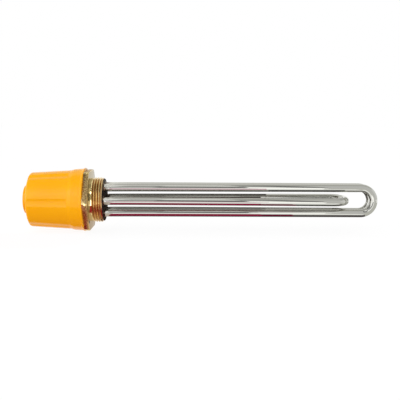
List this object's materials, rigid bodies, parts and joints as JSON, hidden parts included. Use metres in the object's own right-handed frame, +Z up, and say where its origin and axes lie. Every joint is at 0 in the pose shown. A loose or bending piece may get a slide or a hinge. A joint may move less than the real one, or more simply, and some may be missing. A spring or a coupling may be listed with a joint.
{
  "type": "screw plug immersion heater",
  "caption": "Screw plug immersion heater: hairpin steel heating elements brazed into a hexagon brass plug with a parallel pipe thread, under a push-on plastic terminal cap.",
  "frame": {"origin": "on the thread's axis, in the plane of the hexagon's sealing face", "axes": "+X along the axis towards the element tips, +Z up, the middle element lying in the XY plane"},
  "size_m": [0.3278, 0.0606, 0.0592],
  "materials": {
    "plug_brass": "sandy cast flats, bright turned face, neck and thread",
    "cap_plastic": "smooth moulded yellow-orange",
    "sheath_steel": "bright polished stainless steel",
    "magnesia": "pressed powder",
    "coil_wire": "dull resistance wire",
    "pin_steel": "bright drawn steel",
    "seal_rubber": "matt silicone",
    "bushing_ceramic": "matt fired ceramic",
    "braze": "dull braze metal",
    "plated_steel": "zinc plated",
    "link_copper": "stamped copper strip"
  },
  "bodies": {
    "heater": {"screw_plug": "plug_brass", "front_sheath": "sheath_steel", "rear_sheath": "sheath_steel", "middle_sheath": "sheath_steel", "front_magnesia": "magnesia", "rear_magnesia": "magnesia", "middle_magnesia": "magnesia", "front_coil": "coil_wire", "rear_coil": "coil_wire", "middle_coil": "coil_wire", "front_terminal_pins": "pin_steel", "rear_terminal_pins": "pin_steel", "middle_terminal_pins": "pin_steel", "end_seals": "seal_rubber", "ceramic_bushings": "bushing_ceramic", "braze_fillets": "braze", "base_nuts": "plated_steel", "star_link": "link_copper", "line_washers": "plated_steel", "spring_washers": "plated_steel", "clamp_nuts": "plated_steel", "earth_screw": "plated_steel", "earth_washer": "plated_steel", "earth_spring_washer": "plated_steel"},
    "cap": {"cap": "cap_plastic"}
  },
  "joints": [
    {"name": "cap_pull", "type": "slide", "parent": "heater", "child": "cap", "axis": [-1, 0, 0], "range_m": [0, 0.06]}
  ]
}
